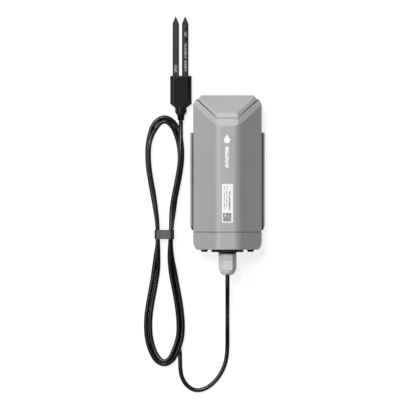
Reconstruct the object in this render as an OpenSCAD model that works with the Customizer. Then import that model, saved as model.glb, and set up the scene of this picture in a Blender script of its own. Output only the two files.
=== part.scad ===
// Soil moisture sensor: a battery-powered radio housing on a slide-off wall bracket,
// with a cable gland, a tied hank of cable and a two-pronged soil probe.
// It lies on its back: +Z is out of the front face, +Y is the housing's top end.
// Millimetres.

/* [Housing] */
// Width of the housing across its side walls
body_w = 78.8; // [78.4:0.1:79.2]
// Width of the flat front facet between its sharp corners
front_w = 26; // [25:0.5:27]
// Height of the front facet above the surface it lies on
front_z = 56; // [55.5:0.5:56.5]
// Wall thickness of the housing
wall = 2.5; // [2.3:0.1:2.5]
// Tilt of the roof at the top end, from the front facet
roof_tilt = 47.4; // [46.8:0.2:48]

/* [Gland and cable] */
// Outside diameter of the cable
cable_d = 5; // [4.8:0.1:5]
// Width of the gland's hexagons across the flats
gland_af = 18; // [17.8:0.1:18]

/* [Bracket] */
// Width of the bracket across its cheeks
bracket_w = 85.6; // [85.6:0.2:86.6]
// Thickness of its back plate
plate_t = 2.6; // [2.4:0.1:2.8]
// Screw spacing across the bracket
screw_dx = 50; // [48:1:52]
// Screw spacing along the bracket
screw_dy = 82; // [80:1:84]
// Diameter of the wall screw holes
screw_hole_d = 4.5; // [4:0.1:5]

/* [Probe] */
// Width of the probe head
head_w = 25; // [24.8:0.1:26]
// Thickness of the probe head
head_t = 14; // [13.8:0.1:14.2]
// Distance between the middles of the prongs
prong_gap = 10.9; // [10.8:0.1:11]
// Width of one prong
prong_w = 7.4; // [7.2:0.1:7.4]

/* [Hidden] */

$fn = 64;
far = 400;               // reach of a cutting block
half_w = body_w / 2;
half_front = front_w / 2;
back_z = 6;              // back face of the housing
shoulder_z = front_z - (half_w - half_front);   // where a side facet meets the side wall
corners = [[-half_front, front_z], [half_front, front_z], [half_w, shoulder_z],
    [half_w, back_z], [-half_w, back_z], [-half_w, shoulder_z]];
corner_r = [13.5, 13.5, 4, 3.5, 3.5, 4];

// roof, rim and top cover
rim_y = 68;              // where the rim bevel leaves the front facet
roof_y = 72.6;           // where the roof plane would meet the front facet
housing_end_y = 98.4;
roof_t = 5;
cover_top_y = 103.25;
cover_rise = 2.5;        // how far the cover's flat face stands above the roof plane
cover_outline = [[-12.2, 77.2], [12.2, 77.2], [34.2, 98.4], [30.4, cover_top_y],
    [-30.4, cover_top_y], [-34.2, 98.4]];
groove_w = 0.25;         // open groove round the top cover
pocket_d = 2.4;          // depth of the cover's seat below the roof plane
seat_w = 4;
top_gasket_t = 1;
n_roof = [0, sin(roof_tilt), cos(roof_tilt)];
n_rim = [0, sin(roof_tilt / 2), cos(roof_tilt / 2)];
n_hip = (n_roof + [sin(45), 0, cos(45)]) / norm(n_roof + [sin(45), 0, cos(45)]);

// end cap, seam and its screws
seam_y = -54.2;
seam_gap = 0.6;
cap_y = -74.4;           // outside face of the end cap
cap_floor_t = 3;
cap_floor_y = cap_y + cap_floor_t;
tongue_l = 5;
tongue_t = 1.6;
tongue_clear = 0.2;
screw_spots = [[26.5, 35], [-26.5, 35], [26.5, 12.4], [-26.5, 12.4]];
boss_r = 4;
boss_l = 20;
screw_r = 1.95;
head_r = 3.95;
head_h = 2.6;

// slide grooves on the housing's sides and the rails that run in them
groove_z = 15;
groove_h = 2.6;
groove_d = 1.5;
groove_top_y = 0.1;
rail_l = 50;
rail_h = 2.5;

// gland, along its axis
gland_z = 33;
port_r = 18.4;
port_y = -77.2;
washer_y = -78.8;
hex_y = -85.5;
thread_y = -93;
nut_shoulder_y = -97.8;
nut_end_y = -103.25;
thread_r = 7.2;
gland_bore_r = 5.1;
core_r = cable_d / 2;
entry_top_y = -62;
entry_foot_y = -110;

// push button, light and vent on the end cap
button_x = -13.8;
button_z = 14.3;
button_r = 3.2;
vent_x = 13.8;
led_z = 12.6;
switch_y = -62.4;

// boards and battery
frame_z = 8.5;
frame_t = 2;
board_z = 13.6;
board_t = 1.6;
board_top = board_z + board_t;
board_foot_y = -27.6;
board_end_y = 84;
board_w = 60;
switch_posts = [[-20.6, 21.4], [6, 17.4]];
terminal_y = -26.5;
post_spots = [[26, -23], [-26, -23], [26, 20], [-26, 20], [24, 78], [-24, 78]];
cradle_spots = [[15, -2], [-15, -2], [15, 36], [-15, 36]];
cell_r = 17.1;
cell_l = 61.5;
cell_y = -12;
cell_z = 35.4;
cradle_t = 1.6;
cell_clear = 0.05;

// bracket
bracket_top_y = 60.3;
bracket_foot_y = -51.9;
cheek_t = 2.5;
cheek_h = 20;
cheek_slope_l = 4.8;     // length of the slope at the foot of each cheek
screw_mid_y = 4;

// probe
probe_x = -53.6;
probe_z = head_t / 2;
prong_t = 4;
prong_tip_y = 194.1;
prong_x = probe_x - 0.5; // middle between the prongs
prong_shoulder_y = 186.2;
prong_root_y = 113.8;
probe_head_y = 125.8;
probe_foot_y = 93.3;
boot_y = 89;
boot_end_y = 74.6;
boot_r = 6.85;

// Middle line of the free cable from the gland down and round to the tied bundle
tail_route = [[0, -110, 33], [0, -118, 32.7], [0, -127, 30.6], [0, -137, 26], [0, -147, 19.8],
    [0, -157, 13.2], [0, -167, 7.8], [0, -177, 4.3], [-0.1, -187, 2.9], [-0.7, -196, 2.5],
    [-2.4, -205, 2.5], [-5.6, -213.4, 2.5], [-9.9, -220.6, 2.5], [-14.8, -226.6, 2.5],
    [-20.6, -231.6, 2.5], [-26.6, -235, 2.5], [-33, -236.6, 2.5], [-39.4, -235.8, 2.5],
    [-45.2, -232.2, 2.5], [-49.8, -226.8, 2.5], [-52.8, -220, 2.5], [-54.2, -212, 2.5],
    [-54.5, -203, 2.5], [-54.6, -195, 2.5], [-54.8, -184, 2.5]];
lead_route = [[-53.4, 26, 11.2], [-53.5, 36, 11], [-53.6, 46, 9.8], [-53.6, 56, 8],
    [-53.6, 65, 7.1], [-53.6, boot_end_y, probe_z]];

// Middle line of the tied bundle, anticlockwise from its lower right:
// [x, y, half its width, its height]
bundle = [[-56.4, -182, 5, 9.4], [-54.3, -172, 5, 9.6], [-53.9, -160, 5, 9.6],
    [-55, -146, 5, 9.6], [-57.2, -131, 5, 9.6], [-60, -116, 5, 9.7], [-62.7, -101, 4.9, 9.8],
    [-64.9, -86, 4.2, 10.6], [-65.6, -72, 3.2, 13], [-65, -57, 2.8, 15], [-64.2, -43, 2.8, 15],
    [-62.9, -29, 3, 14.8], [-60.8, -14, 3.5, 14.5], [-58, 0, 3.9, 14.2], [-55.3, 15, 4, 14],
    [-53.6, 30, 4, 13.6], [-54.1, 44, 4.4, 9], [-56.4, 56, 4.8, 6], [-60.3, 66.2, 5, 5.2],
    [-65.9, 73, 5, 5], [-72.5, 75.6, 5, 5], [-79.2, 73, 5, 5], [-84.4, 66.4, 4.6, 6],
    [-88.2, 57.6, 3.9, 8.4], [-90.8, 47, 3.5, 9.4], [-91.5, 34, 3.4, 9.7], [-90.6, 20, 3.4, 9.7],
    [-88.4, 5, 3.4, 9.7], [-85.7, -10, 3.2, 9.8], [-83.2, -26, 2.9, 10], [-81.1, -42, 2.7, 10],
    [-80.4, -57, 2.7, 10], [-80.3, -69, 2.9, 9.9], [-81.2, -82, 4, 8], [-82.2, -96, 4.8, 5.6],
    [-84.2, -110, 5, 5], [-86.9, -125, 5, 5], [-89.4, -139, 5, 5], [-91.1, -153, 5, 5],
    [-91.3, -167, 5, 5], [-89.7, -180, 5, 5], [-85.6, -192.4, 5, 5], [-79.6, -201.4, 5, 5],
    [-72.4, -205, 5, 5], [-65.4, -201, 5, 5.8], [-60.4, -192.6, 5, 7.6]];

// ---------- functions ----------
function unit(v) = v / norm(v);
function wrap(i, n) = (i + n) % n;
// Outward normal of the edge that leaves point i of a clockwise outline
function out_normal(p, i) = let (d = unit(p[wrap(i + 1, len(p))] - p[wrap(i, len(p))])) [-d[1], d[0]];
// Centre of the round at corner i once the outline has moved in by inset
function fillet_r(radii, i, inset) = max(radii[i] - inset, 0.3);
function fillet_centre(p, radii, i, inset) =
    let (a = out_normal(p, i - 1), b = out_normal(p, i))
    p[i] - (inset + fillet_r(radii, i, inset)) * (a + b) / (1 + a * b);
// The same round as short straight steps
function fillet_steps(p, radii, i, inset, steps) = let (a = out_normal(p, i - 1),
    turn = acos(a * out_normal(p, i)), from = atan2(a[1], a[0]))
    [for (k = [0:steps]) fillet_centre(p, radii, i, inset) + fillet_r(radii, i, inset)
        * [cos(from - turn * k / steps), sin(from - turn * k / steps)]];
// A point on a smooth curve through a route
function curve_at(p, i, t, closed) = let (n = len(p),
    a = p[closed ? wrap(i - 1, n) : max(i - 1, 0)], b = p[i],
    c = p[closed ? wrap(i + 1, n) : min(i + 1, n - 1)],
    d = p[closed ? wrap(i + 2, n) : min(i + 2, n - 1)])
    0.5 * (2 * b + (c - a) * t + (2 * a - 5 * b + 4 * c - d) * t * t
        + (3 * b - a - 3 * c + d) * t * t * t);
function smooth(p, steps) = [for (i = [0:len(p) - 2]) for (k = [0:steps - 1])
    curve_at(p, i, k / steps, false), p[len(p) - 1]];
// Direction of a route at point i, and the ring of points round it
function heading(p, i) = unit(p[min(i + 1, len(p) - 1)] - p[max(i - 1, 0)]);
function ring(p, i, r, sides) = let (h = heading(p, i),
    a = unit(cross(h, abs(h[2]) > 0.9 ? [1, 0, 0] : [0, 0, 1])), b = cross(a, h))
    [for (k = [0:sides - 1]) p[i] + r * (a * cos(360 * k / sides) + b * sin(360 * k / sides))];
function skin(rings, sides, closed) = [for (i = [0:rings - (closed ? 1 : 2)])
    for (k = [0:sides - 1]) let (j = (i + 1) % rings, m = (k + 1) % sides)
        [i * sides + k, j * sides + k, j * sides + m, i * sides + m]];
// Outline of the bundle's cross-section: across, then up
function bundle_ring(p, i) = let (n = len(p), a = p[wrap(i - 1, n)], b = p[wrap(i + 1, n)],
    d = unit([b[0] - a[0], b[1] - a[1]]), w = p[i][2], h = p[i][3])
    [for (q = [[1, 0.32], [1, 0.68], [0.6, 1], [-0.6, 1], [-1, 0.68], [-1, 0.32],
        [-0.6, 0], [0.6, 0]]) [p[i][0] + d[1] * w * q[0], p[i][1] - d[0] * w * q[0], h * q[1]]];

// ---------- helpers ----------
module tube(route, r, sides = 8) {
    n = len(route);
    polyhedron([for (i = [0:n - 1]) each ring(route, i, r, sides)],
        concat(skin(n, sides, false), [[for (k = [0:sides - 1]) k]],
            [[for (k = [0:sides - 1]) n * sides - 1 - k]]), convexity = 10);
}

// The block on the inner side of a plane through p with outward normal n
module inside_of(n, p) {
    translate(p) rotate([0, acos(n[2] / norm(n)), atan2(n[1], n[0])])
        translate([-far / 2, -far / 2, -far]) cube(far);
}

// Extrudes an outline drawn in x and z along the housing, from y low to y high
module along_y(low, high) {
    translate([0, high, 0]) rotate([90, 0, 0]) linear_extrude(high - low) children();
}

// A cylinder whose axis runs along y
module rod_y(r, low, high, x = 0, z = gland_z) {
    translate([x, high, z]) rotate([90, 0, 0]) cylinder(r = r, h = high - low);
}

module hex_y(af, low, high, turn = 0) {
    translate([0, high, gland_z]) rotate([90, turn, 0])
        cylinder(r = af / sqrt(3), h = high - low, $fn = 6);
}

// A box given by its low and high corners
module block(low, high) {
    translate(low) cube(high - low);
}

// Pan-head screw that points down from its seat
module pan_screw(seat, r, l, head, h) {
    translate([seat[0], seat[1], seat[2] - l]) cylinder(r = r, h = l + 0.1);
    difference() {
        translate(seat) cylinder(r = head, h = h);
        translate([0, 0, h * 0.5]) for (a = [45, 135]) translate(seat) rotate(a)
            translate([-head * 0.6, -head * 0.12, 0]) cube([head * 1.2, head * 0.24, h]);
    }
}

module body_section(inset = 0) {
    r = [for (i = [0:5]) fillet_r(corner_r, i, inset)];
    c = [for (i = [0:5]) fillet_centre(corners, corner_r, i, inset)];
    polygon([for (i = [0:5]) each [c[i] + r[i] * out_normal(corners, i - 1),
        c[i] + r[i] * out_normal(corners, i)]]);
    for (i = [0:5]) translate(c[i]) circle(r = r[i]);
}

module stepped_section(inset) {
    polygon([for (i = [0:5]) each fillet_steps(corners, corner_r, i, inset, 6)]);
}

// Everything below the roof plane moved down by drop
module under_roof(drop) {
    inside_of(n_roof, [0, roof_y, front_z] - n_roof * drop);
}

// The bevels between the roof and the facets, moved in by inset
module under_rim(inset) {
    intersection() {
        inside_of(n_rim, [0, rim_y, front_z] - n_rim * inset);
        inside_of(n_hip, [half_front, rim_y, front_z] - n_hip * inset);
        mirror([1, 0, 0]) inside_of(n_hip, [half_front, rim_y, front_z] - n_hip * inset);
    }
}

module end_corners(inset) {
    for (side = [0, 1]) mirror([side, 0, 0])
        inside_of([0.875, 0.484, 0], [half_w - 3.2 - inset, housing_end_y - inset, 0]);
}

module cover_column(grow = 0) {
    translate([0, 0, -20]) linear_extrude(100) intersection() {
        offset(delta = grow) polygon(cover_outline);
        translate([-100, 0]) square([200, cover_top_y]);
    }
}

// Slide groove in both sides
module slide_grooves(low, high) {
    for (side = [0, 1]) mirror([side, 0, 0])
        block([half_w - groove_d, low, groove_z - groove_h / 2],
            [half_w + 5, high, groove_z + groove_h / 2]);
}

// ---------- housing ----------
module housing() {
    color("#a6a8ac") difference() {
        union() {
            difference() {
                intersection() {
                    along_y(seam_y + seam_gap / 2, housing_end_y) body_section();
                    under_roof(0);
                    under_rim(0);
                    inside_of([0.875, 0.484, 0], [half_w - 3.2, housing_end_y, 0]);
                    inside_of([-0.875, 0.484, 0], [3.2 - half_w, housing_end_y, 0]);
                }
                intersection() {
                    along_y(seam_y - 1, housing_end_y - wall) body_section(wall);
                    under_roof(roof_t);
                    under_rim(wall);
                    inside_of([0.875, 0.484, 0], [half_w - 6, housing_end_y - wall, 0]);
                    inside_of([-0.875, 0.484, 0], [6 - half_w, housing_end_y - wall, 0]);
                }
            }
            for (side = [0, 1]) mirror([side, 0, 0])
                block([half_w - wall - 1.5, seam_y + tongue_l + 1.5, groove_z - 3],
                    [half_w - 0.5, groove_top_y + 3, groove_z + 3]);
            intersection() {
                for (s = screw_spots)
                    rod_y(boss_r, seam_y + tongue_l + 1, seam_y + tongue_l + 1 + boss_l, s[0], s[1]);
                along_y(seam_y, 0) body_section(1);
            }
        }
        for (s = screw_spots) rod_y(screw_r + 0.05, seam_y - 1, seam_y + 26, s[0], s[1]);
        slide_grooves(seam_y - 1, groove_top_y);
        difference() {
            cover_column(groove_w);
            under_roof(pocket_d);
        }
        intersection() {
            cover_column(-seat_w);
            translate([-50, 0, 0]) cube([100, housing_end_y - 5, 100]);
            difference() {
                under_roof(0);
                under_roof(roof_t + 4);
            }
        }
    }
}

module top_cover() {
    color("#adafb3") intersection() {
        difference() {
            cover_column();
            under_roof(pocket_d - top_gasket_t);
            intersection() {
                cover_column(-seat_w - 1);
                under_roof(-0.6);
                translate([-50, 0, 0]) cube([100, housing_end_y - 6, 100]);
            }
        }
        under_roof(-cover_rise);
        inside_of(n_rim, [0, 77.2, front_z - (77.2 - roof_y) * tan(roof_tilt)]);
        inside_of(n_hip, [12.2, 77.2, front_z - (77.2 - roof_y) * tan(roof_tilt)]);
        mirror([1, 0, 0])
            inside_of(n_hip, [12.2, 77.2, front_z - (77.2 - roof_y) * tan(roof_tilt)]);
    }
}

module top_gasket() {
    color("#2b2c2e") intersection() {
        difference() {
            cover_column(-0.6);
            cover_column(-seat_w + 0.8);
        }
        translate([-50, 0, 0]) cube([100, housing_end_y - 1, 100]);
        difference() {
            under_roof(pocket_d - top_gasket_t);
            under_roof(pocket_d);
        }
    }
}

// ---------- end cap ----------
// What the tapered foot corner on the right side leaves
module cap_corner() {
    intersection() {
        inside_of([0.963, -0.269, 0], [half_w, cap_y + 8, 0]);
        inside_of([0.832, -0.555, 0], [half_w - 1.2, cap_y + 3.7, 0]);
    }
}

module end_cap() {
    inner = wall + tongue_clear + tongue_t;
    color("#a0a2a6") difference() {
        union() {
            difference() {
                intersection() {
                    along_y(cap_y, seam_y - seam_gap / 2) body_section();
                    cap_corner();
                    mirror([1, 0, 0]) cap_corner();
                }
                along_y(cap_floor_y, 0) body_section(inner);
            }
            difference() {
                along_y(seam_y - 3, seam_y + tongue_l) body_section(wall + tongue_clear);
                along_y(seam_y - 4, 0) body_section(inner);
            }
            intersection() {
                for (s = screw_spots) rod_y(boss_r, cap_y + 1, seam_y + tongue_l, s[0], s[1]);
                along_y(cap_y, 0) body_section(wall + tongue_clear);
            }
            for (p = switch_posts) rod_y(2, cap_floor_y - 0.5, switch_y, p[0], p[1]);
        }
        for (s = screw_spots) rod_y(screw_r + 0.05, cap_y - 1, 0, s[0], s[1]);
        rod_y(thread_r + 0.1, cap_y - 1, cap_floor_y + 1);
        rod_y(button_r + 0.4, cap_y - 1, cap_floor_y + 1, button_x, button_z);
        rod_y(2.9, cap_y - 1, cap_floor_y + 1, vent_x, button_z);
        rod_y(1.3, cap_y - 1, cap_floor_y + 1, 0, led_z);
        slide_grooves(cap_y - 1, 0);
    }
}

module seam_gasket() {
    color("#3a3b3d") difference() {
        along_y(seam_y - seam_gap / 2, seam_y + seam_gap / 2) stepped_section(0.7);
        along_y(seam_y - 5, seam_y + 5) stepped_section(wall + tongue_clear - 0.1);
        slide_grooves(seam_y - 5, seam_y + 5);
    }
}

module cap_screws() {
    color("#1d1d1f") for (s = screw_spots) difference() {
        union() {
            rod_y(screw_r, cap_y - 0.1, seam_y + 25, s[0], s[1]);
            translate([s[0], cap_y, s[1]]) rotate([90, 0, 0]) rotate_extrude()
                polygon([[0, 0], [head_r, 0], [head_r, 1.2], [head_r - 0.7, 2.2],
                    [head_r - 1.7, head_h], [0, head_h]]);
        }
        translate([s[0] - 2.2, cap_y - head_h - 1, s[1] - 0.5]) cube([4.4, 2.4, 1]);
        translate([s[0] - 0.6, cap_y - head_h - 1, s[1] - 5]) cube([1.2, 2.2, 10]);
    }
}

module front_label() {
    color("#f2f4f5") translate([0, 0, front_z]) linear_extrude(0.2) polygon([[-5.6, 1.1],
        [5.5, 1.1], [6.3, 0.3], [6.3, -42.6], [5.5, -43.4], [-5.6, -43.4], [-6.4, -42.6], [-6.4, 0.3]]);
}

// ---------- gland ----------
module port_gasket() {
    color("#161617") difference() {
        rod_y(port_r, port_y, cap_y);
        rod_y(thread_r + 0.1, port_y - 1, cap_y + 1);
    }
}

module gland_washer() {
    color("#1c1c1e") difference() {
        rod_y(10.3, washer_y, port_y);
        rod_y(thread_r + 0.1, washer_y - 1, port_y + 1);
    }
}

module gland_body() {
    color("#b4b8bb") difference() {
        union() {
            intersection() {
                hex_y(gland_af, hex_y, washer_y, 4);
                rod_y(10.3, hex_y, washer_y);
            }
            rod_y(thread_r, thread_y, cap_floor_y + 6);
        }
        rod_y(gland_bore_r, -100, cap_floor_y + 10);
    }
}

module gland_locknut() {
    color("#b4b8bb") difference() {
        hex_y(19, cap_floor_y, cap_floor_y + 4, 10);
        rod_y(thread_r, cap_floor_y - 1, cap_floor_y + 5);
    }
}

module gland_seal() {
    color("#222324") difference() {
        rod_y(5, -97.5, -86.5);
        rod_y(core_r, -100, -80);
    }
}

module gland_cage() {
    color("#c6c9cb") difference() {
        rod_y(6.3, -99.4, thread_y - 0.2);
        rod_y(5.35, -97.9, -80);
        rod_y(3.3, -101, -90);
        for (a = [0:60:300]) translate([0, 0, gland_z]) rotate([0, a + 10, 0])
            translate([4, -99, -0.3]) cube([3, 4.4, 0.6]);
    }
}

module gland_nut() {
    color("#cdd0d2") difference() {
        intersection() {
            hex_y(gland_af, nut_end_y, hex_y - 0.1, 4);
            translate([0, 0, gland_z]) rotate([90, 0, 0]) rotate_extrude() polygon([[0, -hex_y],
                [9.9, -hex_y + 0.1], [10.4, -hex_y + 0.6], [10.4, -nut_shoulder_y - 1.2],
                [9.9, -nut_shoulder_y - 0.2], [8.9, -nut_shoulder_y + 0.6],
                [8.6, -nut_shoulder_y + 1.6], [8.1, -nut_shoulder_y + 3.2],
                [7.2, -nut_shoulder_y + 4.5], [5.4, -nut_end_y], [0, -nut_end_y]]);
        }
        rod_y(thread_r + 0.3, thread_y - 0.6, 0);
        rod_y(6.65, -99.5, -90);
        rod_y(3.1, -110, -90);
    }
}

// ---------- button, light and vent ----------
module push_button() {
    color("#d8dadb") {
        rod_y(button_r, -76.4, cap_floor_y + 0.1, button_x, button_z);
        rod_y(3.9, cap_floor_y, cap_floor_y + 1, button_x, button_z);
        rod_y(1.6, cap_floor_y + 0.9, -66.6, button_x, button_z);
    }
}

module button_ring() {
    color("#1c1c1e") difference() {
        rod_y(4.6, -75.8, cap_y, button_x, button_z);
        rod_y(button_r + 0.4, -77, -70, button_x, button_z);
    }
}

module led_lens() {
    color("#dfe6e2") {
        rod_y(1.2, -75, switch_y, 0, led_z);
        rod_y(1.9, cap_floor_y, cap_floor_y + 1, 0, led_z);
    }
}

module vent_plug() {
    color("#1c1c1e") difference() {
        union() {
            rod_y(4, cap_y - 1.8, cap_y, vent_x, button_z);
            rod_y(2.85, cap_y - 0.1, cap_floor_y + 2, vent_x, button_z);
        }
        rod_y(1.4, cap_y - 1, cap_floor_y + 3, vent_x, button_z);
        rod_y(0.4, cap_y - 3, cap_y, vent_x, button_z);
    }
}

module switch_board() {
    color("#2f6b3c") difference() {
        block([-21.9, switch_y, 10.6], [8, switch_y + 1.4, 23.4]);
        for (p = switch_posts) rod_y(0.8, -70, -50, p[0], p[1]);
    }
}

module push_switch() {
    color("#2c2d2f") difference() {
        block([button_x - 3, -66.8, button_z - 3], [button_x + 3, switch_y, button_z + 3]);
        rod_y(2, -68, -64.9, button_x, button_z);
    }
}

module switch_ribbon() {
    color("#d9d3c4") {
        block([-20.6, switch_y + 1.4, board_top], [-14.6, board_foot_y + 5, board_top + 0.4]);
        block([-20.6, switch_y + 1.4, 12.4], [-14.6, switch_y + 1.8, board_top + 0.4]);
    }
}

// ---------- electronics ----------
module inner_frame() {
    color("#5c5f63") difference() {
        union() {
            block([-32, board_foot_y, frame_z], [32, 82, frame_z + frame_t]);
            for (s = concat(post_spots, cradle_spots))
                translate([s[0], s[1], frame_z]) cylinder(r = 3, h = board_z - frame_z);
        }
        for (s = concat(post_spots, cradle_spots))
            translate([s[0], s[1], frame_z + 1]) cylinder(r = 1.3, h = 10);
        block([-10, -18, 0], [10, 60, 20]);
    }
}

module main_board() {
    color("#2f6b3c") difference() {
        block([-board_w / 2, board_foot_y, board_z], [board_w / 2, board_end_y, board_top]);
        for (s = concat(post_spots, cradle_spots))
            translate([s[0], s[1], 0]) cylinder(r = 1.4, h = 30);
    }
}

module board_screws() {
    color("#b9bcc0") for (s = post_spots) pan_screw([s[0], s[1], board_top], 1.25, 5, 2.3, 1.7);
}

module radio_module() {
    color("#c4c7ca") {
        block([-13, 56, board_top], [13, 74, board_top + 0.8]);
        block([-12, 57, board_top + 0.8], [12, 70, board_top + 3]);
    }
}

module controller_chip() {
    color("#202124") block([-27, 58, board_top], [-18, 67, board_top + 1.2]);
}

module board_parts() {
    color("#33363a") {
        translate([24, -12, board_top]) cylinder(r = 4, h = 9);
        translate([-24, -12, board_top]) cylinder(r = 4, h = 9);
        block([20.6, 2, board_top], [28, 9.4, board_top + 4]);
        for (y = [30:4:46]) block([-27, y, board_top], [-22, y + 2.4, board_top + 1.1]);
        block([18, 58, board_top], [26, 64, board_top + 1.6]);
        block([-27, 0, board_top], [-21, 8, board_top + 1.4]);
    }
}

module coil_antenna() {
    turns = 7;
    steps = 12;
    color("#c9a15a") tube(concat([[19, 72, board_top], [19, 72, board_top + 2.6]],
        [for (i = [0:turns * steps]) [19 + 2.6 * sin(360 * i / steps), 74 + 13 * i / turns / steps,
            board_top + 5.2 - 2.6 * cos(360 * i / steps)]]), 0.4, 6);
}

module sensor_terminal() {
    color("#3c7d4a") difference() {
        block([-12, terminal_y, board_top], [12, terminal_y + 9.5, board_top + 9]);
        for (x = [-9:6:9]) {
            rod_y(1.3, terminal_y - 1, terminal_y + 5.5, x, board_top + 3);
            translate([x, terminal_y + 5.5, board_top + 5]) cylinder(r = 1.9, h = 10);
        }
        block([-20, terminal_y + 7.5, board_top + 6], [20, terminal_y + 10, board_top + 20]);
    }
}

module terminal_screws() {
    color("#c2c5c8") for (x = [-9:6:9]) difference() {
        translate([x, terminal_y + 5.5, board_top + 5]) cylinder(r = 1.8, h = 3);
        block([x - 3, terminal_y + 5.25, board_top + 7.2], [x + 3, terminal_y + 5.75, board_top + 10]);
    }
}

module sensor_cores() {
    color("#b0483c") for (k = [0:3]) tube(smooth([[(k - 1.5) * 1, entry_top_y, gland_z],
        [(k - 1.5) * 1.6, -55, gland_z - 2], [(k - 1.5) * 4, -44, 25],
        [(k - 1.5) * 6, -34, 19], [(k - 1.5) * 6, -27, board_top + 3],
        [(k - 1.5) * 6, terminal_y + 5, board_top + 3]], 2), 0.6, 6);
}

module battery_cell() {
    color("#3f6fa8") {
        rod_y(cell_r, cell_y, cell_y + cell_l - 1.2, 0, cell_z);
        rod_y(4, cell_y + cell_l - 1.3, cell_y + cell_l, 0, cell_z);
    }
}

module battery_cradle() {
    base = board_top;
    color("#2a2b2d") difference() {
        union() {
            block([-19, cell_y - 3, base], [19, cell_y + cell_l + 3, base + cradle_t]);
            for (y = [-9, 15, 43]) block([-19, y, base], [19, y + 4, 32]);
            block([-12, cell_y - 3, base], [12, cell_y - 1, 46]);
            block([-12, cell_y + cell_l + 1, base], [12, cell_y + cell_l + 3, 46]);
        }
        rod_y(cell_r + cell_clear, cell_y - 0.5, cell_y + cell_l + 0.5, 0, cell_z);
        for (s = cradle_spots) translate([s[0], s[1], 0]) cylinder(r = 1.4, h = 30);
    }
}

module cradle_screws() {
    color("#b9bcc0") for (s = cradle_spots)
        pan_screw([s[0], s[1], board_top + cradle_t], 1.25, 6.6, 2.3, 1.7);
}

module battery_contacts() {
    color("#d0c8a8") {
        block([-6, cell_y - 1, 29], [14, cell_y, 41]);
        block([-6, cell_y + cell_l, 29], [14, cell_y + cell_l + 1, 41]);
    }
}

module battery_strap() {
    color("#1e1e20") difference() {
        union() {
            rod_y(cell_r + 0.6, 22, 32, 0, cell_z);
            block([-cell_r - 0.6, 22, board_top + cradle_t], [cell_r + 0.6, 32, cell_z]);
        }
        rod_y(cell_r + cell_clear, 20, 34, 0, cell_z);
        block([-cell_r - cell_clear, 20, 0], [cell_r + cell_clear, 34, cell_z]);
    }
}

module battery_plug() {
    color("#e6e2d6") block([21, 49, board_top], [28, 54, board_top + 6]);
}

module battery_leads() {
    color("#a8322c") {
        tube(smooth([[13.3, cell_y + cell_l + 1.7, 33], [17, 51.5, 31], [22, 52.4, 28],
            [23, 52.4, 25], [23, 52.4, board_top + 6.05]], 3), 0.7, 6);
        tube(smooth([[13.3, cell_y - 1.7, 33], [18, -14, 30], [22.6, -6, 28], [23.2, 12, 27],
            [23.2, 30, 27], [24, 44, 27.4], [26, 49.8, 26.6], [26, 50.8, 24.6],
            [26, 50.8, board_top + 6.05]], 3), 0.7, 6);
    }
}

// ---------- bracket ----------
module bracket() {
    half = bracket_w / 2;
    inner = half - cheek_t;
    color("#abadb1") difference() {
        union() {
            block([-half, bracket_foot_y, 0], [half, bracket_top_y, plate_t]);
            for (side = [0, 1]) mirror([side, 0, 0]) {
                block([inner, bracket_foot_y, 0], [half, bracket_top_y, cheek_h]);
                block([half_w - groove_d + 0.15, -rail_l, groove_z - rail_h / 2],
                    [inner + 1, 0, groove_z + rail_h / 2]);
            }
        }
        for (side = [0, 1]) mirror([side, 0, 0]) {
            translate([half - 1.2, bracket_foot_y, -1]) rotate(18) translate([0, -10, 0])
                cube([5, 14, 40]);
            translate([half - 1, bracket_top_y, -1]) rotate(45) cube([4, 4, 40]);
            translate([inner - 1, bracket_foot_y + cheek_slope_l, cheek_h]) rotate([45, 0, 0])
                translate([0, -20, 0]) cube([10, 20, 20]);
            block([32, -34, -1], [35, -20, 10]);
            block([32, 28, -1], [35, 42, 10]);
        }
        for (x = [-1, 1]) for (y = [-1, 1])
            translate([x * screw_dx / 2, screw_mid_y + y * screw_dy / 2, -1])
                cylinder(d = screw_hole_d, h = 10);
    }
}

// ---------- probe ----------
// Section of a bar with its long edges cut off, centred on the probe's axis
module cut_bar(w, t, cut) {
    translate([0, probe_z]) polygon([[-w / 2, t / 2 - cut], [cut - w / 2, t / 2],
        [w / 2 - cut, t / 2], [w / 2, t / 2 - cut], [w / 2, cut - t / 2], [w / 2 - cut, -t / 2],
        [cut - w / 2, -t / 2], [-w / 2, cut - t / 2]]);
}

module prong(side) {
    half = prong_w / 2;
    translate([prong_x + side * prong_gap / 2, 0, 0]) intersection() {
        along_y(prong_root_y, prong_tip_y) cut_bar(prong_w, prong_t, 1.2);
        linear_extrude(60) polygon([[-half, 0], [half, 0], [half, prong_shoulder_y],
            [0.35, prong_tip_y], [-0.35, prong_tip_y], [-half, prong_shoulder_y]]);
    }
}

module electrode_dots(grow = 0) {
    for (y = [179.9, 167.3]) translate([prong_x + prong_gap / 2 + 1.2, y, probe_z + 1])
        cylinder(r = 0.95 + grow, h = 1.2);
}

module prong_left() {
    color("#444446") prong(-1);
}

module prong_right() {
    color("#444446") difference() {
        prong(1);
        electrode_dots();
    }
}

module ec_electrodes() {
    color("#151516") electrode_dots();
}

module probe_head() {
    color("#262627") difference() {
        intersection() {
            translate([probe_x, 0, 0]) along_y(boot_y, probe_head_y) cut_bar(head_w, head_t, 3);
            inside_of([0.597, -0.802, 0], [probe_x + head_w / 2, probe_foot_y, 0]);
            inside_of([-0.597, -0.802, 0], [probe_x - head_w / 2, probe_foot_y, 0]);
        }
        prong(-1);
        prong(1);
        block([probe_x - 8.8, 97, probe_z - 0.8], [probe_x + 8.8, 120, probe_z + 3.4]);
    }
}

module probe_board() {
    color("#2f6b3c") difference() {
        block([probe_x - 8.8, 97, probe_z - 0.8], [probe_x + 8.8, 120, probe_z + 0.8]);
        prong(-1);
        prong(1);
    }
}

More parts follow.
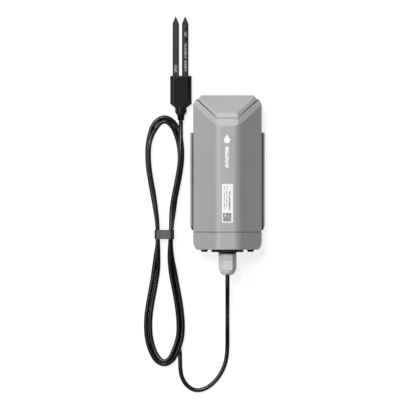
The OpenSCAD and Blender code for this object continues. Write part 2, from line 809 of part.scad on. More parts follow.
module thermistor() {
    color("#26282a") {
        block([probe_x - 1.6, 100, probe_z + 0.8], [probe_x + 1.6, 104.6, probe_z + 2.2]);
        block([probe_x - 6, 100, probe_z + 0.8], [probe_x - 3, 103, probe_z + 1.8]);
        block([probe_x + 3, 100, probe_z + 0.8], [probe_x + 6, 103, probe_z + 1.8]);
    }
}

module probe_boot() {
    color("#2a2a2b") translate([probe_x, boot_y, probe_z]) rotate([90, 0, 0]) rotate_extrude()
        polygon([[0, 0], [boot_r, 0], [boot_r, 5.4], [boot_r - 0.5, 5.9], [4.7, 8.3], [4.3, 9],
            [3.7, boot_y - boot_end_y], [0, boot_y - boot_end_y]]);
}

// ---------- cable ----------
module cable_entry() {
    color("#232324") rod_y(core_r, entry_foot_y, entry_top_y);
}

module cable_tail() {
    color("#232324") tube(smooth(tail_route, 2), core_r, 10);
}

module cable_lead() {
    color("#232324") tube(smooth(lead_route, 2), core_r, 10);
}

module cable_hank() {
    n = len(bundle);
    color("#262627") polyhedron([for (i = [0:n - 1]) each bundle_ring(bundle, i)],
        skin(n, 8, true), convexity = 12);
}

module hank_tie() {
    color("#6a6b6f") difference() {
        along_y(-62.3, -51.7) polygon([[-84, 2.4], [-82.6, 0], [-62.8, 0], [-61.4, 2.4],
            [-61.4, 14.6], [-62.8, 16.4], [-67.6, 16.4], [-77.6, 11.6], [-82.6, 11.6], [-84, 10]]);
        along_y(-63, -51) polygon([[-83.2, 2.6], [-82.2, 0.8], [-63.2, 0.8], [-62.2, 2.6],
            [-62.2, 14.2], [-63.2, 15.6], [-67.2, 15.6], [-77.2, 10.8], [-82.2, 10.8], [-83.2, 9.6]]);
    }
}

housing();
top_cover();
top_gasket();
end_cap();
seam_gasket();
cap_screws();
front_label();
port_gasket();
gland_washer();
gland_body();
gland_locknut();
gland_seal();
gland_cage();
gland_nut();
push_button();
button_ring();
led_lens();
vent_plug();
inner_frame();
main_board();
board_screws();
radio_module();
controller_chip();
board_parts();
coil_antenna();
sensor_terminal();
terminal_screws();
battery_cell();
battery_cradle();
cradle_screws();
battery_contacts();
battery_strap();
battery_plug();
battery_leads();
switch_board();
push_switch();
switch_ribbon();
sensor_cores();
bracket();
probe_head();
probe_board();
thermistor();
prong_left();
prong_right();
ec_electrodes();
probe_boot();
cable_entry();
cable_tail();
cable_hank();
cable_lead();
hank_tie();
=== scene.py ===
"""Soil moisture sensor: radio housing on a wall bracket, its tied cable and its two-pronged probe.

The CAD model is the fixed frame. All sizes are metres in its frame: the object lies on its back on
the floor z = 0, +Z comes out of the housing's front face and +Y points to its slanted top end.
"""

import math

import bpy
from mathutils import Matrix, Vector


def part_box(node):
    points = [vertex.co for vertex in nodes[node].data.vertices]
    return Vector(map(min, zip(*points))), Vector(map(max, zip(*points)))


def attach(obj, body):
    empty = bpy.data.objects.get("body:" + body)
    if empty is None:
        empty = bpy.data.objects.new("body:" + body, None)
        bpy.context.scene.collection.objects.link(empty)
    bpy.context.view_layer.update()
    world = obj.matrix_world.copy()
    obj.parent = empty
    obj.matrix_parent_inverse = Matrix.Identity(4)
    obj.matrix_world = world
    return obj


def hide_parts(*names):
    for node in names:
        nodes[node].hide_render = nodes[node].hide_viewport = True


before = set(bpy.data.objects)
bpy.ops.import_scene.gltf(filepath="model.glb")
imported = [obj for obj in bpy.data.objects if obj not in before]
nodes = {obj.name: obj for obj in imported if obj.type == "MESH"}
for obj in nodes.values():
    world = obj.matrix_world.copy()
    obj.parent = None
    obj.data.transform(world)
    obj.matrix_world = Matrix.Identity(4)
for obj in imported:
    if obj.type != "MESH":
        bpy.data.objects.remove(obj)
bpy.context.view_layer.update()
scene = bpy.context.scene
scene.view_settings.view_transform = "Standard"


# ---------------------------------------------------------------------------
# Camera: straight down on the object as it lies on its back, from far enough
# away that its height does not change its outline.
# ---------------------------------------------------------------------------
MM = 0.001
VIEW_WIDTH = 0.46
VIEW_X, VIEW_Y = -31.6 * MM, -17.3 * MM
MIDDLE_HEIGHT = 0.03
LENS, SENSOR = 800.0, 36.0
camera_data = bpy.data.cameras.new("camera")
camera_data.lens = LENS
camera_data.sensor_width = SENSOR
camera_data.clip_start, camera_data.clip_end = 0.5, 60.0
camera = bpy.data.objects.new("camera", camera_data)
camera.location = (VIEW_X, VIEW_Y, MIDDLE_HEIGHT + VIEW_WIDTH * LENS / SENSOR)
scene.collection.objects.link(camera)
scene.camera = camera


# ---------------------------------------------------------------------------
# Probe: a black overmoulded grip and strain relief on the cable, and two
# pointed glass-laminate prongs with plain grey print and two electrode pads.
# ---------------------------------------------------------------------------
def math_step(tree, kind, *values):
    """A maths node. Each value is a number, or the socket that drives it."""
    node = tree.nodes.new("ShaderNodeMath")
    node.operation = kind
    for socket, value in zip(node.inputs, values):
        if isinstance(value, float):
            socket.default_value = value
        else:
            tree.links.new(value, socket)
    return node.outputs["Value"]


def color_mix(tree, mask, under, over):
    """The colour under where the mask is 0 and over where it is 1. over may be a plain colour."""
    node = tree.nodes.new("ShaderNodeMix")
    node.data_type = "RGBA"
    for label, value in (("Factor", mask), ("A", under), ("B", over)):
        if isinstance(value, tuple):
            node.inputs[label].default_value = (*value, 1)
        else:
            tree.links.new(value, node.inputs[label])
    return node.outputs["Result"]


def spread_value(tree, value, low, high):
    """The value stretched so that low gives 0 and high gives 1."""
    node = tree.nodes.new("ShaderNodeMapRange")
    node.inputs["From Min"].default_value, node.inputs["From Max"].default_value = low, high
    tree.links.new(value, node.inputs["Value"])
    return node.outputs["Result"]


def surface_group():
    """A moulded or extruded surface: fine grain for its relief, slow clouds for its tone, and
    small specks. Every plastic, rubber and metal finish places this group with its own values."""
    grain_detail, cloud_detail, speck_detail = 2.0, 4.0, 1.0
    cloud_band, speck_band = (0.35, 0.65), (0.66, 0.72)
    speck_scale = 900.0
    dust = (0.75, 0.74, 0.7)
    group = bpy.data.node_groups.new("moulded surface", "ShaderNodeTree")
    face = group.interface
    for label, kind, value in (
            ("Grain size", "Float", 1500.0), ("Cloud size", "Float", 30.0),
            ("Speck share", "Float", 0.0), ("Dark", "Color", (0.1, 0.1, 0.1, 1)),
            ("Light", "Color", (0.2, 0.2, 0.2, 1)), ("Smooth", "Float", 0.4),
            ("Rough", "Float", 0.5)):
        socket = face.new_socket(label, in_out="INPUT", socket_type="NodeSocket" + kind)
        socket.default_value = value
    for label, kind in (("Color", "Color"), ("Roughness", "Float"), ("Height", "Float")):
        face.new_socket(label, in_out="OUTPUT", socket_type="NodeSocket" + kind)
    add, link = group.nodes.new, group.links.new
    source, sink, place = add("NodeGroupInput"), add("NodeGroupOutput"), add("ShaderNodeTexCoord")
    grain, cloud, speck = (add("ShaderNodeTexNoise") for _ in range(3))
    for noise, detail in ((grain, grain_detail), (cloud, cloud_detail), (speck, speck_detail)):
        noise.inputs["Detail"].default_value = detail
        link(place.outputs["Object"], noise.inputs["Vector"])
    link(source.outputs["Grain size"], grain.inputs["Scale"])
    link(source.outputs["Cloud size"], cloud.inputs["Scale"])
    speck.inputs["Scale"].default_value = speck_scale
    tone = color_mix(group, spread_value(group, cloud.outputs["Fac"], *cloud_band),
                     source.outputs["Dark"], source.outputs["Light"])
    share = math_step(group, "MULTIPLY", spread_value(group, speck.outputs["Fac"], *speck_band),
                      source.outputs["Speck share"])
    gloss = add("ShaderNodeMapRange")
    link(grain.outputs["Fac"], gloss.inputs["Value"])
    link(source.outputs["Smooth"], gloss.inputs["To Min"])
    link(source.outputs["Rough"], gloss.inputs["To Max"])
    link(color_mix(group, share, tone, dust), sink.inputs["Color"])
    link(gloss.outputs["Result"], sink.inputs["Roughness"])
    link(grain.outputs["Fac"], sink.inputs["Height"])
    return group


moulded_surface = surface_group()


def finish_material(name, dark, light, smooth, rough, grain, depth, cloud=30.0, metal=0.0,
                    specular=0.5, specks=0.0, coat=0.0):
    """A Principled material over the moulded surface group. depth is the relief in metres."""
    relief_strength = 0.6
    material = bpy.data.materials.new(name)
    material.use_nodes = True
    tree = material.node_tree
    shader = tree.nodes["Principled BSDF"]
    surface = tree.nodes.new("ShaderNodeGroup")
    surface.node_tree = moulded_surface
    for label, value in (
            ("Dark", (*dark, 1)), ("Light", (*light, 1)), ("Smooth", smooth), ("Rough", rough),
            ("Grain size", grain), ("Cloud size", cloud), ("Speck share", specks)):
        surface.inputs[label].default_value = value
    bump = tree.nodes.new("ShaderNodeBump")
    bump.inputs["Strength"].default_value = relief_strength
    bump.inputs["Distance"].default_value = depth
    tree.links.new(surface.outputs["Color"], shader.inputs["Base Color"])
    tree.links.new(surface.outputs["Roughness"], shader.inputs["Roughness"])
    tree.links.new(surface.outputs["Height"], bump.inputs["Height"])
    tree.links.new(bump.outputs["Normal"], shader.inputs["Normal"])
    shader.inputs["Metallic"].default_value = metal
    shader.inputs["Specular IOR Level"].default_value = specular
    shader.inputs["Coat Weight"].default_value = coat
    return material


def grey(value):
    return (value, value, value)


def rounded_copy(node, name, body, radius, material, broad=None):
    """A copy of a CAD node with its sharp edges rounded, which stands for that node.

    broad = (radius, lowest z, shortest) rounds the long edges along Y above that height first.
    """
    merge_gap = 0.002 * MM
    flat_angle, sharp_angle = math.radians(0.5), math.radians(14)
    bpy.ops.object.select_all(action="DESELECT")
    copy = bpy.data.objects.new(name, nodes[node].data.copy())
    scene.collection.objects.link(copy)
    copy.data.materials.clear()
    copy.data.materials.append(material)
    copy.select_set(True)
    bpy.context.view_layer.objects.active = copy
    bpy.ops.object.mode_set(mode="EDIT")
    bpy.ops.mesh.select_all(action="SELECT")
    bpy.ops.mesh.remove_doubles(threshold=merge_gap)
    bpy.ops.mesh.customdata_custom_splitnormals_clear()
    bpy.ops.mesh.dissolve_limited(angle_limit=flat_angle)
    if broad:
        broad_radius, lowest, shortest = broad
        bpy.ops.mesh.select_all(action="DESELECT")
        bpy.ops.object.mode_set(mode="OBJECT")
        spots = copy.data.vertices
        for edge in copy.data.edges:
            a, b = (spots[k].co for k in edge.vertices)
            edge.select = abs(a.y - b.y) > shortest and min(a.z, b.z) > lowest
        bpy.ops.object.mode_set(mode="EDIT")
        bpy.ops.mesh.select_mode(type="EDGE")
        bpy.ops.mesh.bevel(offset=broad_radius, segments=4, profile=0.5, affect="EDGES")
    bpy.ops.object.mode_set(mode="OBJECT")
    if radius:
        bevel = copy.modifiers.new("edge radius", "BEVEL")
        bevel.width = radius
        bevel.segments = 2
        bevel.limit_method = "ANGLE"
        bevel.angle_limit = sharp_angle
        bevel.use_clamp_overlap = False
        bevel.harden_normals = True
        bpy.ops.object.shade_smooth()
        bpy.ops.object.modifier_apply(modifier=bevel.name)
        if broad:
            flats = copy.modifiers.new("flat faces", "WEIGHTED_NORMAL")
            flats.weight = 100
            bpy.ops.object.modifier_apply(modifier=flats.name)
    else:
        bpy.ops.object.shade_smooth_by_angle(angle=sharp_angle)
    bpy.ops.object.select_all(action="DESELECT")
    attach(copy, body)
    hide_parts(node)
    return copy


def mark_group():
    """A printed mark: a plain block on a flat that faces up, solid or broken into inked cells."""
    group = bpy.data.node_groups.new("printed mark", "ShaderNodeTree")
    face = group.interface
    for label in ("Centre", "Half size", "Cell"):
        face.new_socket(label, in_out="INPUT", socket_type="NodeSocketVector")
    face.new_socket("Share", in_out="INPUT", socket_type="NodeSocketFloat").default_value = 1.0
    face.new_socket("Mask", in_out="OUTPUT", socket_type="NodeSocketFloat")
    add, link = group.nodes.new, group.links.new
    source, sink, place = add("NodeGroupInput"), add("NodeGroupOutput"), add("ShaderNodeTexCoord")

    def vector_step(kind, *values):
        node = add("ShaderNodeVectorMath")
        node.operation = kind
        for socket, value in zip(node.inputs, values):
            link(value, socket)
        return node.outputs["Vector"]

    offset = vector_step("SUBTRACT", place.outputs["Object"], source.outputs["Centre"])
    room = vector_step("SUBTRACT", source.outputs["Half size"], vector_step("ABSOLUTE", offset))
    cell = vector_step("SNAP", place.outputs["Object"], source.outputs["Cell"])
    axes, chance = add("ShaderNodeSeparateXYZ"), add("ShaderNodeTexWhiteNoise")
    link(room, axes.inputs["Vector"])
    chance.noise_dimensions = "2D"
    link(cell, chance.inputs["Vector"])
    mask = math_step(group, "LESS_THAN", chance.outputs["Value"], source.outputs["Share"])
    for axis in "XYZ":
        inside = math_step(group, "GREATER_THAN", axes.outputs[axis], 0.0)
        mask = math_step(group, "MULTIPLY", mask, inside)
    link(mask, sink.inputs["Mask"])
    return group


printed_mark = mark_group()


def printed(material, ink, height, marks, extra=None):
    """Prints on a flat at that height. Each mark is its left, right, low and high edge, then the
    width, height and inked share of its cells, in millimetres. extra is one more mask."""
    half_depth = 0.1
    tree = material.node_tree
    base = tree.nodes["Principled BSDF"].inputs["Base Color"]
    mask = extra
    for left, right, low, high, across, up, share in marks:
        mark = tree.nodes.new("ShaderNodeGroup")
        mark.node_tree = printed_mark
        for label, spot in (
                ("Centre", ((left + right) / 2, (low + high) / 2, height)),
                ("Half size", ((right - left) / 2, (high - low) / 2, half_depth))):
            mark.inputs[label].default_value = [part * MM for part in spot]
        mark.inputs["Cell"].default_value = (across * MM, up * MM, 1.0)
        mark.inputs["Share"].default_value = share
        this = mark.outputs["Mask"]
        mask = this if mask is None else math_step(tree, "MAXIMUM", mask, this)
    bare = base.links[0].from_socket
    tree.links.new(color_mix(tree, mask, bare, ink), base)


grip_black = finish_material("probe overmould", grey(0.006), grey(0.009), 0.2, 0.26, 1300.0, 5e-6,
                             cloud=40.0, specular=0.35, specks=0.006)
probe_grip = rounded_copy("probe_head", "probe_grip", "unit", 0.4 * MM, grip_black,
                          broad=(1.5 * MM, 7 * MM, 20 * MM))
strain_relief = rounded_copy("probe_boot", "strain_relief", "unit", 0.3 * MM, grip_black)


def prong_material(name, marks):
    """Black laminate with grey print on its upper face."""
    ink = (0.36, 0.36, 0.37)
    upper_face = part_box("prong_left")[1][2] / MM
    material = finish_material(name, grey(0.02), grey(0.027), 0.38, 0.48, 700.0, 1e-5,
                               cloud=120.0, specular=0.28)
    printed(material, ink, upper_face, marks)
    return material


left_laminate = prong_material("left prong laminate", [(-61.4, -57.9, 129.9, 138, 0.6, 0.6, 0.62)])
right_laminate = prong_material("right prong laminate", [
    (-49.6, -47, 171.4, 176.2, 0.7, 0.7, 0.6), (-49.5, -47.1, 146, 163.6, 0.6, 0.6, 0.62),
    (-49.5, -47.1, 130.8, 143.2, 0.6, 0.6, 0.68)])
rounded_copy("prong_left", "left_prong", "unit", 0.2 * MM, left_laminate)
rounded_copy("prong_right", "right_prong", "unit", 0.2 * MM, right_laminate)
# Electrode pads: near black with no specular reflection. The black is partly the pads' own colour
# and partly painted shade of the recess round each pad.
electrode_black_painted_shade = finish_material("electrode", grey(0.001), grey(0.002), 0.4, 0.5, 2000.0, 5e-6,
                                  specular=0.0)
rounded_copy("ec_electrodes", "electrode_pads", "unit", 0.1 * MM, electrode_black_painted_shade)


# ---------------------------------------------------------------------------
# Hank tie: a hook-and-loop strap with a grey woven face, wrapped once
# round all five runs of the cable and pressed shut on itself. Painted shade
# makes it black where it turns down at both sides and darker along its edges.
# ---------------------------------------------------------------------------
def tie_material():
    """Grey weave on the flat stretch. Painted shade makes it black where the strap turns down at
    both sides and darker along its edges.
    """
    middle_x, middle_y = -73.6, -57
    painted_edge_shade, painted_side_shade = grey(0.05), grey(0.008)
    weave_scale, weave_depth = 2600.0, 4e-5
    material = finish_material("tie weave with painted shade", (0.09, 0.091, 0.096), (0.13, 0.132, 0.14), 0.7, 0.85,
                               1500.0, weave_depth, cloud=260.0, specular=0.3)
    tree = material.node_tree
    add, link = tree.nodes.new, tree.links.new
    base, normal = (tree.nodes["Principled BSDF"].inputs[k] for k in ("Base Color", "Normal"))
    place, axes = add("ShaderNodeTexCoord"), add("ShaderNodeSeparateXYZ")
    link(place.outputs["Object"], axes.inputs["Vector"])
    color = base.links[0].from_socket
    # Painted shade: darker towards the strap's edges along Y, near black towards its turned-down
    # sides along X.
    for axis, middle, near, far, share, shade in (
            ("Y", middle_y, 3.9, 4.3, 0.5, painted_edge_shade),
            ("X", middle_x, 7.7, 8.5, 0.97, painted_side_shade)):
        offset = math_step(tree, "SUBTRACT", axes.outputs[axis], middle * MM)
        away = spread_value(tree, math_step(tree, "ABSOLUTE", offset), near * MM, far * MM)
        color = color_mix(tree, math_step(tree, "MULTIPLY", away, share), color, shade)
    weave, relief = add("ShaderNodeTexChecker"), add("ShaderNodeBump")
    weave.inputs["Scale"].default_value = weave_scale
    link(place.outputs["Object"], weave.inputs["Vector"])
    link(weave.outputs["Fac"], relief.inputs["Height"])
    relief.inputs["Strength"].default_value = 0.5
    relief.inputs["Distance"].default_value = weave_depth
    link(normal.links[0].from_socket, relief.inputs["Normal"])
    link(relief.outputs["Normal"], normal)
    link(color, base)
    return material


tie_strap = rounded_copy("hank_tie", "tie_strap", "unit", 0.3 * MM, tie_material())


# ---------------------------------------------------------------------------
# Cable: 5 mm black sheathed sensor cable. It leaves the gland, drops to the
# floor, runs round and up, makes two turns of the hank and ends in the probe.
# ---------------------------------------------------------------------------
CABLE_D = 0.005
STEPS_A_POINT = 4
# Middle line of the free end, in millimetres, as the CAD model's tail runs.
tail_route = [
    (0, -98, 33), (0, -104, 33), (0, -110, 33), (0, -118, 32.7), (0, -127, 30.6), (0, -137, 26),
    (0, -147, 19.8), (0, -157, 13.2), (0, -167, 7.8), (0, -177, 4.3), (-0.1, -187, 2.9),
    (-0.7, -196, 2.5), (-2.4, -205, 2.5), (-5.6, -213.4, 2.5), (-9.9, -220.6, 2.5),
    (-14.8, -226.6, 2.5), (-20.6, -231.6, 2.5), (-26.6, -235, 2.5), (-33, -236.6, 2.5),
    (-39.4, -235.8, 2.5), (-45.2, -232.2, 2.5), (-49.8, -226.8, 2.5), (-52.8, -220, 2.5),
    (-54.2, -212, 2.5), (-54.5, -203, 2.5), (-54.8, -193, 2.5),
]
# Middle line of one turn of the hank, anticlockwise from its lower right.
hank_line = [
    (-56.4, -182), (-54.3, -172), (-53.9, -160), (-55, -146), (-57.2, -131), (-60, -116),
    (-62.7, -101), (-64.9, -86), (-65.6, -72), (-65, -57), (-64.2, -43), (-62.9, -29),
    (-60.8, -14), (-58, 0), (-55.3, 15), (-53.6, 30), (-54.1, 44), (-56.4, 56), (-60.3, 66.2),
    (-65.9, 73), (-72.5, 75.6), (-79.2, 73), (-84.4, 66.4), (-88.2, 57.6), (-90.8, 47),
    (-91.5, 34), (-90.6, 20), (-88.4, 5), (-85.7, -10), (-83.2, -26), (-81.1, -42),
    (-80.4, -57), (-80.3, -69), (-81.2, -82), (-82.2, -96), (-84.2, -110), (-86.9, -125),
    (-89.4, -139), (-91.1, -153), (-91.3, -167), (-89.7, -180), (-85.6, -192.4),
    (-79.6, -201.4), (-72.4, -205), (-65.4, -201), (-60.4, -192.6),
]
# How far each turn lies outside that line, and how high: [from station, to station, out, height].
first_turn = [
    (0, 6, 0, 2.5), (7, 7, 0, 2.6), (8, 8, 0, 3), (9, 9, 0, 3.4), (10, 10, -0.7, 3),
    (11, 15, -1.4, 2.5), (16, 16, -1.8, 2.5), (17, 17, -2.3, 2.5), (18, 22, -2.5, 2.5),
    (23, 23, -1.6, 5), (24, 24, -1.1, 6.8), (25, 28, -0.95, 7.1), (29, 29, -0.6, 7.6),
    (30, 30, -0.2, 8.1), (31, 31, 0, 8.4), (32, 32, -0.4, 8.1), (33, 33, -1.6, 6.2),
    (34, 34, -2.4, 3.6), (35, 40, -2.5, 2.5), (41, 41, -2.3, 3.4), (42, 42, -2, 4.8),
    (43, 43, -1.8, 6.1), (44, 44, -2, 6.6), (45, 45, -2.4, 6.8),
]
second_turn = [
    (0, 6, -2.5, 6.9), (7, 7, -1.7, 7.3), (8, 8, -0.7, 8), (9, 9, 0, 8.4), (10, 10, 0.7, 7.6),
    (11, 15, 1.4, 6.7), (16, 16, 1.8, 5.6), (17, 17, 2.3, 3.6), (18, 22, 2.5, 2.5),
    (23, 23, 1.6, 2.5), (24, 24, 1.1, 2.5), (25, 28, 0.95, 2.5), (29, 29, 0.6, 2.6),
    (30, 30, 0.2, 3), (31, 31, 0, 3.4), (32, 32, 0.4, 3), (33, 33, 1.6, 2.6),
    (34, 42, 2.5, 2.5), (43, 43, 1.9, 2.7), (44, 44, 2.2, 4.6), (45, 45, 2.5, 6.4),
]
last_run = [
    (0, 6, 2.5, 6.9), (7, 7, 1.7, 8.8), (8, 8, 0.7, 11.8), (9, 9, 0, 13.4), (10, 10, -0.7, 12.3),
    (11, 13, -1.4, 10.9), (14, 14, -1.2, 10.9),
]
lead_route = [
    (-54.4, 28, 11.1), (-54, 38, 11), (-53.8, 48, 10), (-53.6, 57, 8.6), (-53.6, 66, 7.2),
    (-53.6, 74, 7), (-53.6, 78, 7),
]


def turn_points(offsets):
    """Points of one turn of the hank, set off from its middle line."""
    out = []
    count = len(hank_line)
    for first, last, outward, height in offsets:
        for i in range(first, last + 1):
            before, after = hank_line[i - 1], hank_line[(i + 1) % count]
            along = Vector((after[0] - before[0], after[1] - before[1])).normalized()
            x, y = hank_line[i]
            out.append((x + along.y * outward, y - along.x * outward, height))
    return out


def smooth_route(points, steps):
    """A smooth curve through the points, with so many steps between two of them."""
    p = [Vector(q) for q in points]
    out = []
    for i in range(len(p) - 1):
        a, b, c, d = p[max(i - 1, 0)], p[i], p[i + 1], p[min(i + 2, len(p) - 1)]
        for k in range(steps):
            t = k / steps
            out.append(0.5 * (2 * b + (c - a) * t + (2 * a - 5 * b + 4 * c - d) * t * t
                              + (3 * b - a - 3 * c + d) * t ** 3))
    return out + [p[-1]]


cable_points = (tail_route + turn_points(first_turn) + turn_points(second_turn)
                + turn_points(last_run) + lead_route)
cable_line = [q * MM for q in smooth_route(cable_points, STEPS_A_POINT)]

cable_curve = bpy.data.curves.new("cable", "CURVE")
cable_curve.dimensions = "3D"
cable_curve.bevel_depth = CABLE_D / 2
cable_curve.bevel_resolution = 4
cable_curve.use_fill_caps = True
cable_spline = cable_curve.splines.new("POLY")
cable_spline.points.add(len(cable_line) - 1)
for point, place in zip(cable_spline.points, cable_line):
    point.co = (*place, 1)
cable_spline.use_smooth = True
cable = bpy.data.objects.new("sensor_cable", cable_curve)
scene.collection.objects.link(cable)
bpy.ops.object.select_all(action="DESELECT")
cable.select_set(True)
bpy.context.view_layer.objects.active = cable
bpy.ops.object.convert(target="MESH")
bpy.ops.object.shade_smooth()
bpy.ops.object.select_all(action="DESELECT")
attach(cable, "unit")
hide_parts("cable_entry", "cable_tail", "cable_hank", "cable_lead")
cable_black = finish_material("cable sheath", grey(0.004), grey(0.006), 0.26, 0.32, 1200.0, 3e-6,
                              cloud=60.0, specular=0.42)
cable.data.materials.clear()
cable.data.materials.append(cable_black)


# ---------------------------------------------------------------------------
# Housing, top cover and end cap: three grey glass-filled nylon mouldings with
# a fine satin grain and the mould's small edge radius. The front's white pad
# print is a plain drop over a plain broken bar.
# ---------------------------------------------------------------------------
FRONT_FACE = 56.0
PAD_WHITE = (0.9, 0.91, 0.92)


def drop_mask(material, x, y, radius, tip):
    """A plain drop on the front face: a disc and the wedge above it, up to tip."""
    wedge_slope, wedge_foot, skin = 0.56, 0.49, 0.05
    tree = material.node_tree
    place, axes = tree.nodes.new("ShaderNodeTexCoord"), tree.nodes.new("ShaderNodeSeparateXYZ")
    tree.links.new(place.outputs["Object"], axes.inputs["Vector"])

    def step(kind, *values):
        return math_step(tree, kind, *values)

    aside = step("ABSOLUTE", step("SUBTRACT", axes.outputs["X"], x * MM))
    rise = step("SUBTRACT", axes.outputs["Y"], y * MM)
    reach = step("SQRT", step("ADD", step("MULTIPLY", aside, aside),
                              step("MULTIPLY", rise, rise)))
    disc = step("LESS_THAN", reach, radius * MM)
    room = step("MULTIPLY", step("SUBTRACT", (tip - y) * MM, rise), wedge_slope)
    wedge = step("MULTIPLY", step("LESS_THAN", aside, room),
                 step("GREATER_THAN", rise, wedge_foot * radius * MM))
    on_front = step("GREATER_THAN", axes.outputs["Z"], (FRONT_FACE - skin) * MM)
    return step("MULTIPLY", step("MAXIMUM", disc, wedge), on_front)


def nylon(name, dark, light, cloud):
    """Glass-filled nylon with the fine grain that the three mouldings share."""
    return finish_material(name, dark, light, 0.32, 0.4, 1800.0, 1.2e-5, cloud=cloud,
                           specular=0.95, specks=0.02)


housing_grey = nylon("housing plastic", (0.345, 0.352, 0.362), (0.365, 0.372, 0.382), 14.0)
cover_grey = nylon("cover plastic", (0.35, 0.356, 0.366), (0.37, 0.376, 0.386), 16.0)
cap_grey = nylon("cap plastic", (0.34, 0.347, 0.357), (0.36, 0.367, 0.377), 16.0)
printed(housing_grey, PAD_WHITE, FRONT_FACE, [(-2.7, 1.3, 19.6, 43.8, 0.7, 0.7, 0.62)],
        extra=drop_mask(housing_grey, -0.6, 51.4, 3.6, 58.2))
rounded_copy("housing", "housing_shell", "unit", 0.3 * MM, housing_grey)
rounded_copy("top_cover", "roof_cover", "unit", 0.2 * MM, cover_grey)
rounded_copy("end_cap", "base_cap", "unit", 0.5 * MM, cap_grey)


# ---------------------------------------------------------------------------
# Bracket: a darker grey nylon moulding, a plate with two cheeks and rails. The
# housing slides onto it, and its cheeks show at both sides.
# ---------------------------------------------------------------------------
bracket_grey = finish_material("bracket plastic", (0.225, 0.229, 0.236), (0.255, 0.259, 0.266),
                               0.44, 0.54, 1600.0, 3e-5, cloud=18.0, specks=0.02)
rounded_copy("bracket", "wall_bracket", "bracket", 0.4 * MM, bracket_grey)


# ---------------------------------------------------------------------------
# Seals: black EPDM. The wide port gasket and the gland's washer show under the
# end cap; the others are thin rings pressed in their seams.
# ---------------------------------------------------------------------------
def finish_nodes(material, *names):
    """Gives CAD nodes that are kept as they are their material."""
    for name in names:
        nodes[name].data.materials.clear()
        nodes[name].data.materials.append(material)


seal_black = finish_material("seal rubber", grey(0.011), grey(0.018), 0.55, 0.7, 1200.0, 5e-5,
                             cloud=80.0)
finish_nodes(seal_black, "top_gasket", "seam_gasket", "gland_seal")
rounded_copy("port_gasket", "port_seal", "unit", 0.5 * MM, seal_black)
rounded_copy("gland_washer", "gland_ring", "unit", 0.3 * MM, seal_black)


# ---------------------------------------------------------------------------
# Gland: light grey polyamide. The hexagon body is screwed through the end cap,
# and the dome nut squeezes the claws and the seal onto the cable.
# ---------------------------------------------------------------------------
gland_grey = finish_material("gland nylon", (0.62, 0.64, 0.655), (0.67, 0.69, 0.702), 0.3, 0.38,
                             900.0, 1.5e-5, cloud=40.0)
rounded_copy("gland_body", "gland_hex", "unit", 0.12 * MM, gland_grey)
rounded_copy("gland_nut", "dome_nut", "gland_dome_nut", 0.18 * MM, gland_grey)
rounded_copy("gland_cage", "gland_claws", "gland_claws", 0.0, gland_grey)
finish_nodes(gland_grey, "gland_locknut")


# ---------------------------------------------------------------------------
# Fasteners and fittings on the underside: four black M4 pan-head screws, the
# set-up button in its ring, the status light's lens and the vent plug.
# ---------------------------------------------------------------------------
screw_black = finish_material("black screw", grey(0.012), grey(0.02), 0.32, 0.45, 1400.0, 1e-5,
                              metal=0.9)
fitting_black = finish_material("black fitting", grey(0.014), grey(0.021), 0.4, 0.5, 1500.0, 2e-5)
button_white = finish_material("button plastic", (0.55, 0.56, 0.57), (0.62, 0.63, 0.64), 0.35,
                               0.45, 1500.0, 1.5e-5)
lens_clear = finish_material("lens", (0.55, 0.62, 0.58), (0.62, 0.7, 0.66), 0.1, 0.16, 600.0, 5e-6,
                             coat=0.5)
rounded_copy("cap_screws", "cap_screw_heads", "unit", 0.15 * MM, screw_black)
rounded_copy("push_button", "setup_button", "button", 0.4 * MM, button_white)
rounded_copy("button_ring", "button_bezel", "unit", 0.3 * MM, fitting_black)
rounded_copy("led_lens", "light_lens", "unit", 0.3 * MM, lens_clear)
rounded_copy("vent_plug", "vent", "unit", 0.3 * MM, fitting_black)


# ---------------------------------------------------------------------------
# Front label: a satin white polyester sticker, printed with plain broken bars
# and a plain grid of cells that stand for its small print.
# ---------------------------------------------------------------------------
LABEL_FACE = 56.2
LABEL_INK = (0.09, 0.093, 0.1)
label_film = finish_material("label film", (0.86, 0.87, 0.88), (0.9, 0.91, 0.92), 0.4, 0.46,
                             1500.0, 3e-6)
printed(label_film, LABEL_INK, LABEL_FACE, [
    (-4.2, -2.7, -5.6, -1.6, 0.4, 0.5, 0.36), (-1.8, 0.1, -5.6, -1.6, 0.4, 0.5, 0.3),
    (-4.1, -2.9, -28, -7.6, 0.4, 0.4, 0.46), (-1.7, -0.2, -27, -7, 0.4, 0.4, 0.36),
    (1.6, 3.1, -29, -7, 0.5, 0.5, 0.78), (-5.3, 4.3, -42, -32.2, 0.48, 0.48, 0.7)])
rounded_copy("front_label", "front_sticker", "unit", 0.0, label_film)


# ---------------------------------------------------------------------------
# Electronics inside the closed housing, and the probe's small board: boards,
# modules, terminal, cell and wires. The CAD's shapes, each with its own finish.
# ---------------------------------------------------------------------------
board_green = finish_material("solder mask", (0.01, 0.11, 0.035), (0.015, 0.15, 0.05), 0.25, 0.35,
                              500.0, 1e-5, cloud=300.0)
frame_grey = finish_material("inner frame", grey(0.09), grey(0.11), 0.45, 0.55, 1500.0, 2e-5)
steel = finish_material("zinc steel", grey(0.6), grey(0.68), 0.25, 0.4, 800.0, 5e-6, metal=1.0)
chip_black = finish_material("chip epoxy", grey(0.02), grey(0.03), 0.5, 0.6, 2500.0, 1e-5)
plated_wire = finish_material("plated wire", (0.6, 0.4, 0.16), (0.7, 0.48, 0.2), 0.2, 0.3, 900.0,
                              3e-6, metal=1.0)
terminal_green = finish_material("terminal", (0.04, 0.26, 0.08), (0.05, 0.32, 0.1), 0.35, 0.45,
                                 1200.0, 1e-5)
cell_blue = finish_material("cell sleeve", (0.03, 0.13, 0.36), (0.04, 0.16, 0.42), 0.18, 0.28,
                            300.0, 8e-6)
